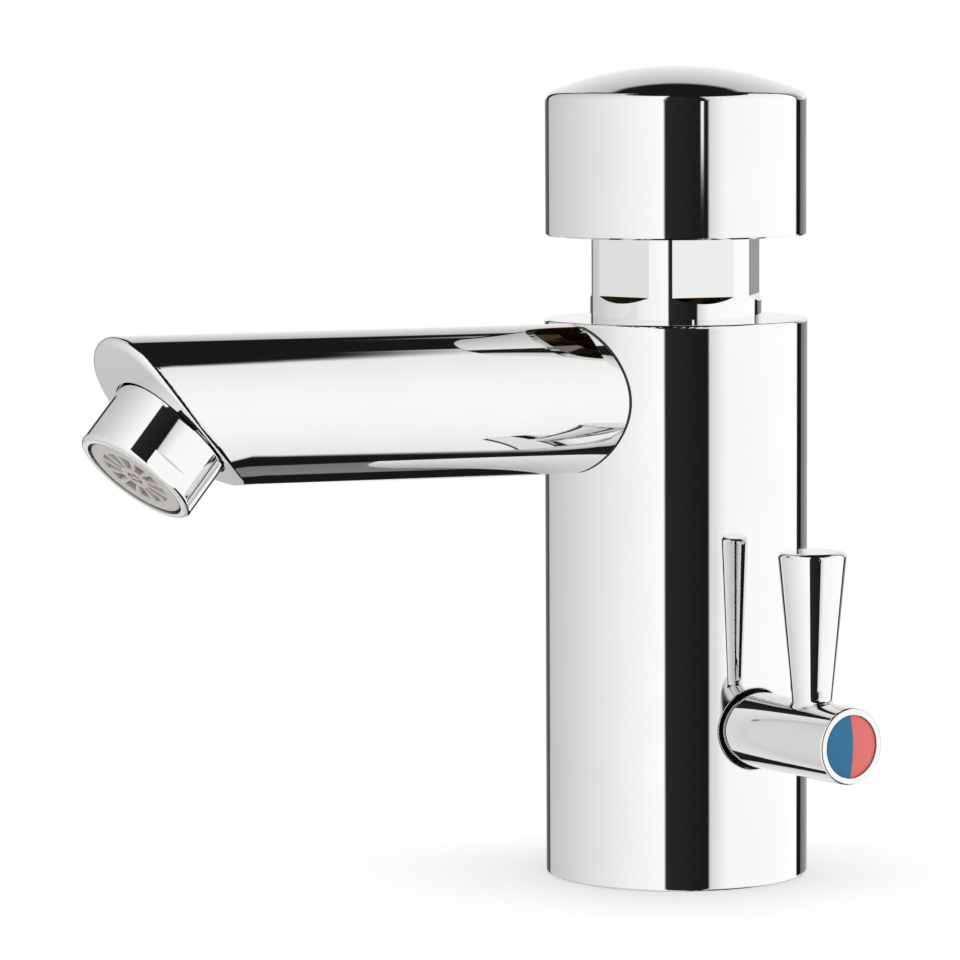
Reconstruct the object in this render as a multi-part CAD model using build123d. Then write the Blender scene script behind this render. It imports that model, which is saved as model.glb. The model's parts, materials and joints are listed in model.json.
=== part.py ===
from build123d import *
import math
import os

# Push timed basin tap with a side temperature lever. Lengths are in millimetres.
# The tap stands on the deck at z = 0 with its body on the Z axis, the spout points
# towards -Y, and the temperature lever turns about a horizontal axis along +X.

# Clearances shared by all the pieces
overrun = 1.0  # how far a cut runs past the face that it opens
seat_play = 0.05  # round a piece that is screwed or pressed into its seat
running_play = 0.06  # round a shaft or a seal that moves in its bore
face_play = 0.1  # between two faces that part or turn on each other

# Body: a thick round casting, hollow underneath, bored from the top for the cartridge
body_radius = 25.0
body_height = 106.2
body_top_round = 0.6
body_base_round = 0.5
base_wall = 4.5  # round the hollow under the body, for the supply hoses and the fixing stud
recess_depth = 14.0
well_gap = 1.65  # water way round the washer's cup, in the well under the valve seat
well_clearance = 1.1  # under the rod with the button pressed
seal_inset = 0.9  # from the hollow's edge to the base seal's groove
seal_width = 1.6
seal_height = 1.5

# Spout: a tapered tube that rises a little towards its end
spout_margin = 0.6  # from the body's top face down to the spout's upper side
spout_rise_angle = 1.2
spout_root_radius = 14.2
spout_tip_radius = 13.65
tip_margin = 3.6  # past the end face's crossing, where the tip radius is measured
spout_gasket_thickness = 0.65  # in the joint between the spout and the body
spout_gasket_inset = 0.1  # from the spout's side in to the gasket's edge
spigot_step = 2.2  # from the spout's root radius in to its spigot
spigot_wall = 2.8
spigot_length = 15.9
socket_wall = 1.8  # between the cartridge's chamber and the spout's socket
lumen_setback = 9.5  # from the outlet's axis back to the end of the spout's water way
spout_port_radius = 3.6
end_face_reach = 116.4  # where the end face crosses the spout's axis
end_face_tilt = 49.5  # the face looks down and forwards, this far from straight down
end_face_crown_radius = 61.0  # the end face bulges a little, across the spout
end_face_round = 1.2

# Outlet fitting, screwed into the spout's end face
outlet_setback = 6.9  # from the end face back to the outlet's axis, along the spout's axis
outlet_tilt = 42.0
outlet_seat = 1.9  # from the spout's axis down to the ring's shoulder, along the outlet
ring_inset = 2.05  # from the spout's tip radius in to the ring's radius
ring_wall = 1.6
ring_body_length = 13.6
ring_edge_round = 0.8
ring_shoulder = 0.8  # from the ring's radius in to its thread
ring_thread_length = 6.0
outlet_headroom = 2.0  # over the thread, where the water turns down
ring_flat_depth = 0.6
ring_flat_length = 3.4
ring_turn = -8.5  # degrees that the two flats are turned about the outlet's axis
ring_ledge = 0.6
ring_ledge_depth = 10.0
ring_gap = 0.4  # dark line between the ring and the bore in the end face
outlet_washer_thickness = 1.0

# Outlet insert: a moulded grille with wedge-shaped cells round a hub with a small pocket
insert_gap = 0.5  # from the ring's bore in to the insert's front
insert_setback = 0.2
insert_front_length = 3.4
insert_rim = 2.7  # from the insert's front edge in to its cells
cell_depth = 2.4
cell_count = 12
cell_inner_radius = 3.0
cell_rib = 0.9
hub_pocket_radius = 1.5
hub_pocket_depth = 1.2
disperser_thickness = 1.8
disperser_hole_radius = 0.5
disperser_hole_margin = 2.85
disperser_hole_count = 18
screen_thickness = 0.5
screen_count = 2
screen_wire_gap = 1.6
screen_bar = 0.5

# Cartridge nut, the neck between the body and the button
nut_radius = 16.3
nut_collar_height = 4.6
nut_ramp_height = 1.2  # over which each flat runs out into the collar
nut_ledge = 1.1  # how far the collar reaches past the cartridge's chamber
nut_flat_depth = 1.2
nut_turn = 13.0  # how far the six flats are turned about the axis
nut_top = 17.8  # from the body's top face to the nut's top
nut_top_break = 0.6
nut_skirt_length = 8.2
nut_roof = 8.0
guide_wall = 0.84
guide_flange_width = 1.7
guide_flange_thickness = 1.5

# Timed cartridge
cylinder_annulus = 1.6  # water way between the cylinder and the chamber's wall
cylinder_wall = 1.2
cylinder_flange_thickness = 3.0
window_height = 4.0
window_width = 6.0
window_count = 6
seat_thickness = 3.5
seat_hole_radius = 5.6
seat_lip_width = 1.0
seat_lip_height = 0.8
gasket_thickness = 1.5
rod_radius = 3.0
piston_gap = 0.6
piston_height = 7.0
piston_spring_gap = 15.0  # from the valve seat's top to the piston, with the tap shut
piston_seal_depth = 1.6
piston_seal_height = 3.2
clip_radius = 4.6
clip_thickness = 0.8
washer_radius = 8.2
washer_thickness = 2.5
cup_rim_height = 1.2
cup_wall = 0.6
cup_thickness = 2.5
end_nut_half_width = 5.0
end_nut_height = 3.0
spring_mean_radius = 7.6
spring_wire_radius = 0.65
spring_turns = 4

# Push button
button_travel = 8.0
button_radius = 24.8
button_gap = 15.8  # from the body's top face to the button's lower edge
button_side_height = 26.8
button_dome_height = 5.2
button_wall = 2.2
button_edge_round = 1.8
button_lower_break = 0.3
button_boss_radius = 6.5
boss_clearance = 2.6  # between the lock nut and the neck with the button pressed
rod_engagement = 7.0
lock_nut_half_width = 5.0
lock_nut_height = 3.0

# Temperature mixer in the body's side
mixer_floor_wall = 1.15  # between the unions under the mixer and its bore
mixer_roof_wall = 7.85  # between the mixer's bore and the well
mixer_bore_radius = 7.55
mixer_bore_depth = 31.0  # from the body's outer radius to the bore's floor
mixer_mouth_gap = 0.5  # round the lever's barrel, where it enters the body
mixer_mouth_depth = 4.0  # from the body's outer radius in to the gland's face
mixer_mouth_round = 0.4
mixer_seal_thickness = 1.0
fixed_disc_thickness = 3.0
turning_disc_margin = 1.15  # from the bore's wall to the turning disc
turning_disc_thickness = 2.4
spindle_flange_thickness = 3.0
spindle_margin = 0.8  # between the spindle and the stop pin
spindle_flat_depth = 0.7
port_margin = 3.65  # from the bore's wall in to the circle of the ports
port_share = 0.436  # of that circle's radius
port_seal_wall = 0.9
mixing_groove_depth = 1.2
lever_swing = 45.0  # degrees to each side of the middle
stop_pin_radius = 0.6
stop_pin_inset = 1.1  # from the turning disc's edge to the pin's axis
stop_margin = 3.0  # degrees that the slot leaves past the swing
o_ring_radius = 0.75  # section radius of every small O-ring
feed_radius = 1.9  # cored ways for the cold and hot water
mixed_radius = 2.2
mixed_way_offset = 8.7

# Temperature lever, one casting: a barrel with a tapered lever standing on it
barrel_radius = 7.1
barrel_end_length = 11.7  # from the lever's axis to the barrel's end
barrel_entry = 3.0  # how far the barrel enters the body's mouth
barrel_edge_round = 0.5
lever_offset = 41.7  # from the body's axis to the lever's axis
lever_length = 34.9  # from the barrel's axis to the lever's top
lever_foot_radius = 3.7  # where it leaves the barrel's crest
lever_top_radius = 6.45
lever_top_round = 1.1
lever_fillet = 1.0
spindle_engagement = 12.0
lever_web = 3.0
screw_cavity_radius = 4.4
screw_head_radius = 3.5
screw_head_height = 4.0
screw_radius = 2.0
screw_grip = 7.0
hex_key_half_width = 1.5
barrel_rim = 1.26  # round the colour disc
index_seat_depth = 2.0
index_setback = 0.4  # from the barrel's end in to the colour disc's edge
index_crown = 0.8

# Supply and fixing, in the recess under the body
fitting_setback = 4.6  # from the deck up to the unions and the stud bush
fitting_margin = 1.4  # between the unions and the hollow's wall
union_radius = 6.4
union_thread_radius = 4.5
union_thread_length = 8.0
union_turn = 52.0  # degrees from the middle plane to each union
union_shoulder_width = 0.9
union_spigot_length = 7.4
union_top_wall = 1.0
union_flat_depth = 0.5
union_flat_length = 4.5
union_way_radius = 2.6
check_valve_inset = 1.5  # from the union's spigot in to the non-return valve
check_valve_wall = 1.2
check_poppet_radius = 2.4
check_stem_radius = 0.8
stud_margin = 4.0  # between the stud's bush and the hollow's wall
stud_bush_radius = 6.0
stud_thread_radius = 3.4
stud_spigot_radius = 4.8
stud_spigot_length = 6.0
union_gasket_thickness = 1.0

# Heights and places that follow from the sizes above
recess_radius = body_radius - base_wall
seal_groove_radius = recess_radius + seal_inset
recess_roof = recess_depth
chamber_radius = nut_radius - nut_ledge
nut_flat_half_width = nut_radius - nut_flat_depth
spout_height = body_height - spout_root_radius - spout_margin
spout_reach = end_face_reach + tip_margin
spigot_radius = spout_root_radius - spigot_step
lumen_radius = spigot_radius - spigot_wall
outlet_reach = end_face_reach - outlet_setback
outlet_drop = ring_body_length + outlet_seat
ring_radius = spout_tip_radius - ring_inset
ring_bore_radius = ring_radius - ring_wall
ring_thread_radius = ring_radius - ring_shoulder
ring_flat_half_width = ring_radius - ring_flat_depth
insert_front_radius = ring_bore_radius - insert_gap
cell_outer_radius = insert_front_radius - insert_rim
disperser_radius = ring_bore_radius - ring_ledge - seat_play
disperser_hole_circle_radius = disperser_radius - disperser_hole_margin
mixer_height = recess_roof + union_spigot_length + mixer_floor_wall + mixer_bore_radius
well_floor = mixer_height + mixer_bore_radius + mixer_roof_wall
rod_bottom = well_floor + well_clearance + button_travel
cup_bottom = rod_bottom + end_nut_height
cup_top = cup_bottom + cup_thickness
washer_top = cup_top + washer_thickness
seat_bottom = washer_top + face_play + seat_lip_height
seat_top = seat_bottom + seat_thickness
chamber_floor = seat_bottom - gasket_thickness
cup_radius = washer_radius + seat_play + cup_wall
well_radius = cup_radius + well_gap
skirt_bottom = body_height - nut_skirt_length
cartridge_radius = chamber_radius - seat_play
cylinder_radius = chamber_radius - cylinder_annulus
cylinder_bore_radius = cylinder_radius - cylinder_wall
piston_body_radius = cylinder_bore_radius - piston_gap
piston_bottom = seat_top + piston_spring_gap
piston_top = piston_bottom + piston_height
guide_radius = rod_radius + running_play + 2 * (o_ring_radius + seat_play) + guide_wall
guide_flange_radius = guide_radius + guide_flange_width
nut_top_z = body_height + nut_top
button_bottom = body_height + button_gap
button_shoulder = button_bottom + button_side_height
button_top = button_shoulder + button_dome_height
dome_radius = (button_radius**2 + button_dome_height**2) / (2 * button_dome_height)
dome_centre = button_top - dome_radius
lock_nut_bottom = nut_top_z + button_travel + boss_clearance
boss_bottom = lock_nut_bottom + lock_nut_height
mixer_mouth_radius = barrel_radius + mixer_mouth_gap
turning_disc_radius = mixer_bore_radius - turning_disc_margin
stop_pin_circle_radius = turning_disc_radius - stop_pin_inset
spindle_radius = stop_pin_circle_radius - stop_pin_radius - spindle_margin
spindle_flat = spindle_radius - spindle_flat_depth
port_circle_radius = mixer_bore_radius - port_margin
port_radius = port_circle_radius * port_share
mixer_floor = body_radius - mixer_bore_depth
fixed_disc_back = mixer_floor + mixer_seal_thickness
fixed_disc_front = fixed_disc_back + fixed_disc_thickness
turning_disc_back = fixed_disc_front + seat_play
turning_disc_front = turning_disc_back + turning_disc_thickness
flange_front = turning_disc_front + spindle_flange_thickness
gland_back = flange_front + face_play
gland_front = body_radius - mixer_mouth_depth
gland_radius = mixer_bore_radius - seat_play
barrel_back = body_radius - barrel_entry
spindle_end = barrel_back + spindle_engagement - face_play
web_front = barrel_back + spindle_engagement + lever_web
barrel_reach = lever_offset + barrel_end_length
lever_height = mixer_height + lever_length
index_radius = barrel_radius - barrel_rim
index_seat = barrel_reach - index_seat_depth
socket_floor = chamber_radius + socket_wall
spigot_end = socket_floor + face_play
union_bottom = fitting_setback
union_shoulder = recess_roof - union_gasket_thickness
union_flat_half_width = union_radius - union_flat_depth
union_spigot_radius = union_radius - union_shoulder_width
check_valve_radius = union_spigot_radius - check_valve_inset
union_circle_radius = recess_radius - union_radius - fitting_margin
union_x = -union_circle_radius * math.cos(math.radians(union_turn))
union_y = union_circle_radius * math.sin(math.radians(union_turn))
stud_offset = recess_radius - stud_bush_radius - stud_margin

# The places of the temperature mixer, the spout and the outlet. Each one's local z runs
# along its own axis: outwards for the mixer and the spout, inwards for the outlet.
rise = math.radians(spout_rise_angle)
tilt = math.radians(outlet_tilt)
mixer = Plane(origin=(0, 0, mixer_height), x_dir=(0, 1, 0), z_dir=(1, 0, 0))
spout_axis = Plane(
    origin=(0, 0, spout_height), x_dir=(1, 0, 0), z_dir=(0, -math.cos(rise), math.sin(rise))
)
outlet = Plane(
    origin=(
        0,
        -outlet_reach - outlet_drop * math.sin(tilt),
        spout_height + outlet_reach * math.tan(rise) - outlet_drop * math.cos(tilt),
    ),
    x_dir=(1, 0, 0),
    z_dir=(0, math.sin(tilt), math.cos(tilt)),
)


def disc(radius, low, high, x=0, y=0):
    """Round bar between two heights."""
    bar = Cylinder(radius, high - low, align=(Align.CENTER, Align.CENTER, Align.MIN))
    return Pos(x, y, low) * bar


def tube(outer, inner, low, high, x=0, y=0):
    """Round bar with a bore right through it."""
    return disc(outer, low, high, x, y) - disc(inner, low - overrun, high + overrun, x, y)


def block(width, depth, low, high, x=0, y=0):
    """Rectangular bar between two heights."""
    bar = Box(width, depth, high - low, align=(Align.CENTER, Align.CENTER, Align.MIN))
    return Pos(x, y, low) * bar


def hexagon(half_width, low, high, turn=0):
    """Hexagonal bar, sized from its axis to a flat."""
    outline = RegularPolygon(half_width, 6, major_radius=False, rotation=turn)
    return Pos(0, 0, low) * extrude(outline, high - low)


def hexagon_taper(low_half_width, high_half_width, low, high, turn):
    """Hexagonal bar whose width changes evenly from one height to the other."""
    ends = [
        Pos(0, 0, height) * RegularPolygon(half_width, 6, major_radius=False, rotation=turn)
        for half_width, height in ((low_half_width, low), (high_half_width, high))
    ]
    return loft(ends, ruled=True)


def ring_seal(surface_radius, height, section=o_ring_radius):
    """O-ring that sits in a groove, its outside level with the surface round it."""
    return Pos(0, 0, height) * Torus(surface_radius - section, section)


def ring_groove(surface_radius, height, section=o_ring_radius):
    """Square groove that takes such an O-ring."""
    half = section + seat_play
    floor_radius = surface_radius - 2 * half
    return tube(surface_radius + overrun, floor_radius, height - half, height + half)


def inner_groove(surface_radius, height, section=o_ring_radius):
    """Square groove in a bore, for an O-ring that closes on the shaft in it."""
    half = section + seat_play
    return disc(surface_radius + 2 * half, height - half, height + half)


def flats(half_width, size, low, high, x=0, y=0):
    """Stock outside a pair of parallel wrench flats that face -X and +X."""
    reach = 2 * (size + overrun)
    kept = block(2 * half_width, 2 * reach, low - overrun, high + overrun, x, y)
    return block(reach, reach, low, high, x, y) - kept


def sector(radius, low, high, start, span):
    """Pie-shaped bar that begins at one angle and runs through a span of degrees."""
    pie = Cylinder(radius, high - low, arc_size=span, align=(Align.NONE, Align.NONE, Align.MIN))
    return Pos(0, 0, low) * Rot(0, 0, start) * pie


def rims(shape, radius):
    """Round edges of one radius, lowest first."""
    circles = shape.edges().filter_by(GeomType.CIRCLE)
    return [edge for edge in circles.sort_by(Axis.Z) if math.isclose(edge.radius, radius)]


def seams(shape):
    """Edges that are neither round nor straight, where two curved faces meet."""
    plain = (GeomType.CIRCLE, GeomType.LINE)
    return [edge for edge in shape.edges() if edge.geom_type not in plain]


def cored_way(points, radius):
    """Water way cast along straight runs, with a ball at each corner."""
    way = None
    for start, end in zip(points, points[1:]):
        run = Vector(*end) - Vector(*start)
        bar = Cylinder(radius, run.length, align=(Align.CENTER, Align.CENTER, Align.MIN))
        leg = Plane(origin=start, z_dir=run.normalized()) * bar
        leg += Pos(*end) * Sphere(radius)
        way = leg if way is None else way + leg
    return way


def port_places():
    """Centres of the mixer's three ports in its own plane: mixed, cold and hot."""
    angles = [90 + 120 * k for k in range(3)]
    return [
        (
            port_circle_radius * math.cos(math.radians(a)),
            port_circle_radius * math.sin(math.radians(a)),
        )
        for a in angles
    ]


def make_tap_body():
    """Body casting with its chamber, well, mixer bore, spout socket and water ways."""
    body = disc(body_radius, 0, body_height)
    body = fillet(rims(body, body_radius)[-1], body_top_round)
    body = fillet(rims(body, body_radius)[0], body_base_round)
    body -= mixer * disc(mixer_mouth_radius, gland_front, body_radius + overrun)
    body = fillet(seams(body), mixer_mouth_round)
    body -= disc(recess_radius, -overrun, recess_roof)
    seal_outer = seal_groove_radius + seal_width
    body -= tube(seal_outer, seal_groove_radius, -overrun, seal_height)
    body -= disc(chamber_radius, chamber_floor, body_height + overrun)
    body -= disc(well_radius, well_floor, chamber_floor + overrun)
    body -= spout_axis * disc(spigot_radius + seat_play, socket_floor, body_radius + overrun)
    body -= spout_axis * disc(spout_port_radius, 0, socket_floor + overrun)
    body -= mixer * disc(mixer_bore_radius, mixer_floor, gland_front + overrun)
    mixed, cold, hot = port_places()
    for port, side in ((cold, -1), (hot, 1)):
        y, z = port[0], mixer_height + port[1]
        union_top = recess_roof + union_spigot_length
        route = [
            (mixer_floor + overrun, y, z),
            (union_x, y, z),
            (union_x, side * union_y, z),
            (union_x, side * union_y, union_top),
        ]
        body -= cored_way(route, feed_radius)
        seat = union_spigot_radius + seat_play
        hole_top = union_top + face_play
        body -= disc(seat, recess_roof - overrun, hole_top, union_x, side * union_y)
    mixed_z = mixer_height + mixed[1]
    route = [
        (mixer_floor + overrun, mixed[0], mixed_z),
        (-mixed_way_offset, mixed[0], mixed_z),
        (-mixed_way_offset, mixed[0], well_floor + overrun),
    ]
    body -= cored_way(route, mixed_radius)
    stud_top = recess_roof + stud_spigot_length + face_play
    body -= disc(stud_spigot_radius + seat_play, recess_roof - overrun, stud_top, stud_offset, 0)
    return body


def make_base_seal():
    """Flat seal, level with the body's foot."""
    outer = seal_groove_radius + seal_width - seat_play
    return tube(outer, seal_groove_radius + seat_play, 0, seal_height - seat_play)


def spout_radius(distance):
    """Outside radius of the spout at a distance from the body's axis."""
    share = distance / spout_reach
    return spout_root_radius + (spout_tip_radius - spout_root_radius) * share


def make_spout():
    """Tapered spout with its spigot, its lumen, its crowned end face and the outlet bore."""
    length = spout_reach + spout_tip_radius
    taper = Cone(
        spout_radius(0),
        spout_radius(length),
        length,
        align=(Align.CENTER, Align.CENTER, Align.MIN),
    )
    spout = spout_axis * taper
    face_tilt = math.radians(end_face_tilt)
    normal = Vector(0, -math.sin(face_tilt), -math.cos(face_tilt))
    crossing = Vector(0, -end_face_reach, spout_height + end_face_reach * math.tan(rise))
    centre = crossing - normal * end_face_crown_radius
    width = 2 * (spout_root_radius + overrun)
    crown = Cylinder(end_face_crown_radius, width, rotation=(0, 90, 0))
    cut_start = end_face_reach - 2 * spout_root_radius
    cut_length = length + overrun - cut_start
    stock = Box(width, cut_length, 2 * width, align=(Align.CENTER, Align.MAX, Align.CENTER))
    spout -= Pos(0, -cut_start, spout_height) * stock - Pos(centre) * crown
    spout = fillet(seams(spout), end_face_round)
    spout -= disc(body_radius + spout_gasket_thickness, 0, body_height + button_gap)
    spout += spout_axis * disc(spigot_radius, spigot_end, spigot_end + spigot_length)
    spout -= spout_axis * ring_groove(spigot_radius, (spigot_end + body_radius) / 2)
    spout -= spout_axis * disc(lumen_radius, 0, outlet_reach - lumen_setback)
    washer_floor = ring_body_length + outlet_washer_thickness
    spout -= outlet * disc(ring_radius + ring_gap, 0, washer_floor)
    thread_end = ring_body_length + ring_thread_length + outlet_headroom
    spout -= outlet * disc(ring_thread_radius + seat_play, 0, thread_end)
    return spout


def make_spout_gasket():
    """Thin saddle-shaped gasket in the joint between the spout and the body."""
    length = body_radius + spout_gasket_thickness + overrun
    taper = Cone(
        spout_radius(0) - spout_gasket_inset,
        spout_radius(length) - spout_gasket_inset,
        length,
        align=(Align.CENTER, Align.CENTER, Align.MIN),
    )
    saddle = tube(body_radius + spout_gasket_thickness, body_radius, 0, body_height)
    hole = spout_axis * disc(spigot_radius + seat_play, 0, length + overrun)
    return (saddle & spout_axis * taper) - hole


def make_spout_o_ring():
    """Seal between the spout's spigot and its socket."""
    return spout_axis * ring_seal(spigot_radius, (spigot_end + body_radius) / 2)


def make_aerator_ring():
    """Outlet ring: rounded collar with two wrench flats, threaded spigot and inner ledge."""
    collar = disc(ring_radius, 0, ring_body_length)
    collar = fillet(rims(collar, ring_radius)[0], ring_edge_round)
    spigot_top = ring_body_length + ring_thread_length
    ring = collar + disc(ring_thread_radius, ring_body_length, spigot_top)
    ring -= disc(ring_bore_radius, -overrun, ring_ledge_depth)
    ring -= disc(ring_bore_radius - ring_ledge, 0, spigot_top + overrun)
    flat_cut = flats(ring_flat_half_width, ring_radius, -overrun, ring_flat_length)
    return outlet * (ring - Rot(0, 0, ring_turn) * flat_cut)


def make_aerator_insert():
    """Grille with a ring of wedge-shaped cells between straight ribs, and a pocketed hub."""
    back = ring_ledge_depth - seat_play
    insert = disc(insert_front_radius, insert_setback, back)
    insert += disc(ring_bore_radius - seat_play, insert_setback + insert_front_length, back)
    floor = insert_setback + cell_depth
    ring_cut = tube(cell_outer_radius, cell_inner_radius, insert_setback - overrun, floor)
    spokes = None
    for k in range(cell_count // 2):
        span = 2 * (cell_outer_radius + overrun)
        spoke = Rot(0, 0, 360 * (k + 1 / 2) / cell_count) * block(
            span, cell_rib, insert_setback - 2 * overrun, floor + overrun
        )
        spokes = spoke if spokes is None else spokes + spoke
    insert -= ring_cut - spokes
    insert -= disc(hub_pocket_radius, insert_setback - overrun, insert_setback + hub_pocket_depth)
    return outlet * insert


def make_aerator_disperser():
    """Perforated plate above the insert."""
    low = ring_ledge_depth + face_play
    plate = disc(disperser_radius, low, low + disperser_thickness)
    hole = disc(
        disperser_hole_radius,
        low - overrun,
        low + disperser_thickness + overrun,
        disperser_hole_circle_radius,
    )
    for k in range(disperser_hole_count):
        plate -= Rot(0, 0, 360 * k / disperser_hole_count) * hole
    return outlet * plate


def make_aerator_screens():
    """Coarse screens that lie on the disperser."""
    low = ring_ledge_depth + face_play + disperser_thickness + face_play
    pitch = screen_wire_gap + screen_bar
    reach = int((disperser_radius - screen_bar) / pitch)
    screens = []
    for layer in range(screen_count):
        base = low + layer * (screen_thickness + face_play)
        screen = disc(disperser_radius, base, base + screen_thickness)
        for i in range(-reach, reach + 1):
            for j in range(-reach, reach + 1):
                if math.hypot(i, j) * pitch < disperser_radius - pitch:
                    screen -= block(
                        screen_wire_gap,
                        screen_wire_gap,
                        base - overrun,
                        base + screen_thickness + overrun,
                        i * pitch,
                        j * pitch,
                    )
        screens.append(outlet * screen)
    return screens


def make_aerator_washer():
    """Washer between the ring's shoulder and the floor of the spout's outlet bore."""
    inner = ring_thread_radius + seat_play
    top = ring_body_length + outlet_washer_thickness
    return outlet * tube(ring_radius, inner, ring_body_length, top)


def make_cartridge_nut():
    """Neck: collar, six flats with ramped feet, threaded skirt and a roof for the guide."""
    nut = disc(nut_radius, body_height, nut_top_z)
    nut = chamfer(rims(nut, nut_radius)[-1], nut_top_break)
    flat_start = body_height + nut_collar_height
    foot = body_height - overrun
    foot_spread = (flat_start - foot) * nut_flat_depth / nut_ramp_height
    kept = hexagon(nut_flat_half_width, flat_start, nut_top_z + overrun, nut_turn)
    kept += hexagon_taper(
        nut_flat_half_width + foot_spread, nut_flat_half_width, foot, flat_start, nut_turn
    )
    nut &= kept
    nut += disc(cartridge_radius, skirt_bottom, body_height)
    nut -= disc(cylinder_bore_radius, skirt_bottom - overrun, nut_top_z - nut_roof)
    nut -= disc(guide_radius + seat_play, skirt_bottom, nut_top_z + overrun)
    nut -= ring_groove(cartridge_radius, skirt_bottom + nut_skirt_length / 2)
    return nut


def make_nut_o_ring():
    """Seal round the nut's skirt."""
    return ring_seal(cartridge_radius, skirt_bottom + nut_skirt_length / 2)


def make_rod_guide():
    """Flanged bush in the nut's roof, grooved for the rod's seal."""
    roof = nut_top_z - nut_roof
    guide = disc(guide_radius, roof, nut_top_z)
    guide += disc(guide_flange_radius, roof - guide_flange_thickness, roof)
    bore = rod_radius + running_play
    guide -= disc(bore, roof - guide_flange_thickness - overrun, nut_top_z + overrun)
    guide -= inner_groove(bore, nut_top_z - nut_roof / 2)
    return guide


def make_rod_seal():
    """O-ring round the push rod, in the guide's groove."""
    centre = rod_radius + running_play + o_ring_radius
    return Pos(0, 0, nut_top_z - nut_roof / 2) * Torus(centre, o_ring_radius)


def make_timing_cylinder():
    """Flanged cylinder in which the piston runs, with water windows near its foot."""
    cylinder = disc(cylinder_radius, seat_top, skirt_bottom)
    cylinder += disc(cartridge_radius, skirt_bottom - cylinder_flange_thickness, skirt_bottom)
    cylinder += disc(cartridge_radius, seat_top, seat_top + cylinder_wall)
    cylinder -= disc(cylinder_bore_radius, seat_top - overrun, skirt_bottom + overrun)
    low = seat_top + 2 * cylinder_wall
    window = block(2 * (cylinder_radius + overrun), window_width, low, low + window_height)
    for k in range(window_count // 2):
        cylinder -= Rot(0, 0, 360 * k / window_count) * window
    cylinder -= ring_groove(cartridge_radius, skirt_bottom - cylinder_flange_thickness / 2)
    return cylinder


def make_cylinder_o_ring():
    """Seal round the cylinder's upper flange."""
    return ring_seal(cartridge_radius, skirt_bottom - cylinder_flange_thickness / 2)


def make_valve_seat():
    """Seat disc with a raised lip underneath."""
    lip_bottom = seat_bottom - seat_lip_height
    seat = disc(cartridge_radius, seat_bottom, seat_top)
    seat += disc(seat_hole_radius + seat_lip_width, lip_bottom, seat_bottom)
    return seat - disc(seat_hole_radius, lip_bottom - overrun, seat_top + overrun)


def make_seat_gasket():
    """Flat gasket between the seat and the chamber's floor."""
    return tube(cartridge_radius, well_radius, chamber_floor, seat_bottom)


def make_push_rod():
    """Rod from the button's boss down to the end nut under the valve washer."""
    return disc(rod_radius, rod_bottom, boss_bottom + rod_engagement)


def on_rod(shape, low, high):
    """Bores a piece so that it fits the push rod."""
    return shape - disc(rod_radius + seat_play, low - overrun, high + overrun)


def make_piston():
    """Timing piston with a groove for its seal."""
    piston = on_rod(disc(piston_body_radius, piston_bottom, piston_top), piston_bottom, piston_top)
    middle = (piston_bottom + piston_top) / 2
    half = piston_seal_height / 2 + seat_play
    groove_radius = piston_body_radius - piston_seal_depth
    return piston - tube(piston_body_radius + overrun, groove_radius, middle - half, middle + half)


def make_piston_seal():
    """Lip seal between the piston and the cylinder."""
    middle = (piston_bottom + piston_top) / 2
    low, high = middle - piston_seal_height / 2, middle + piston_seal_height / 2
    inner = piston_body_radius - piston_seal_depth + seat_play
    outer = cylinder_bore_radius - running_play
    lip = (outer - inner) / 3
    seal = tube(outer, inner, low, high)
    return seal - tube(outer - lip, inner + lip, low + piston_seal_height / 2, high + overrun)


def make_piston_clips():
    """Clips that hold the piston on the rod from below and above."""
    lower = tube(clip_radius, rod_radius + seat_play, piston_bottom - clip_thickness, piston_bottom)
    upper = tube(clip_radius, rod_radius + seat_play, piston_top, piston_top + clip_thickness)
    return [lower, upper]


def make_valve_washer():
    """Rubber washer that closes against the seat's lip from below."""
    return tube(washer_radius, rod_radius + seat_play, cup_top, washer_top)


def make_washer_cup():
    """Brass cup that carries the valve washer."""
    cup = on_rod(disc(cup_radius, cup_bottom, cup_top + cup_rim_height), cup_bottom, washer_top)
    return cup - disc(washer_radius + seat_play, cup_top, washer_top + overrun)


def make_rod_end_nut():
    """Nut that holds the cup on the rod's lower end."""
    return on_rod(hexagon(end_nut_half_width, rod_bottom, cup_bottom), rod_bottom, cup_bottom)


def biarc(start, start_way, end, end_way):
    """Two arcs that leave one point along one direction and reach another along its own."""
    chord = end - start
    total = start_way + end_way
    spread = 2 * (1 - start_way.dot(end_way))
    along = chord.dot(total)
    reach = (math.sqrt(along**2 + spread * chord.dot(chord)) - along) / spread
    middle = (start + end + (start_way - end_way) * reach) / 2
    first = TangentArc(start, middle, tangent=start_way)
    second = TangentArc(end, middle, tangent=-end_way)
    return [first, second]


def make_return_spring():
    """Helical spring between the valve seat and the piston."""
    low = seat_top + spring_wire_radius
    high = piston_bottom - spring_wire_radius
    climb = (high - low) / (spring_turns * 2 * math.pi)
    quarter = math.pi / 2

    def place(turn):
        around = Vector(math.cos(turn), math.sin(turn), 0) * spring_mean_radius
        return around + Vector(0, 0, low + climb * turn)

    def way(turn):
        around = Vector(-math.sin(turn), math.cos(turn), 0) * spring_mean_radius
        return (around + Vector(0, 0, climb)).normalized()

    arcs = []
    for k in range(4 * spring_turns):
        a, b = k * quarter, (k + 1) * quarter
        arcs += biarc(place(a), way(a), place(b), way(b))
    path = Wire([arc.edge() for arc in arcs])
    section = Plane(origin=place(0), z_dir=way(0)) * Circle(spring_wire_radius)
    return sweep(section, path=path)


def dome_solid(radius, low, drop):
    """Round bar with the button's dome on top, the dome lowered by a wall's thickness."""
    ball = Pos(0, 0, dome_centre) * Sphere(dome_radius - drop)
    return disc(radius, low, button_top) & ball


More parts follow.
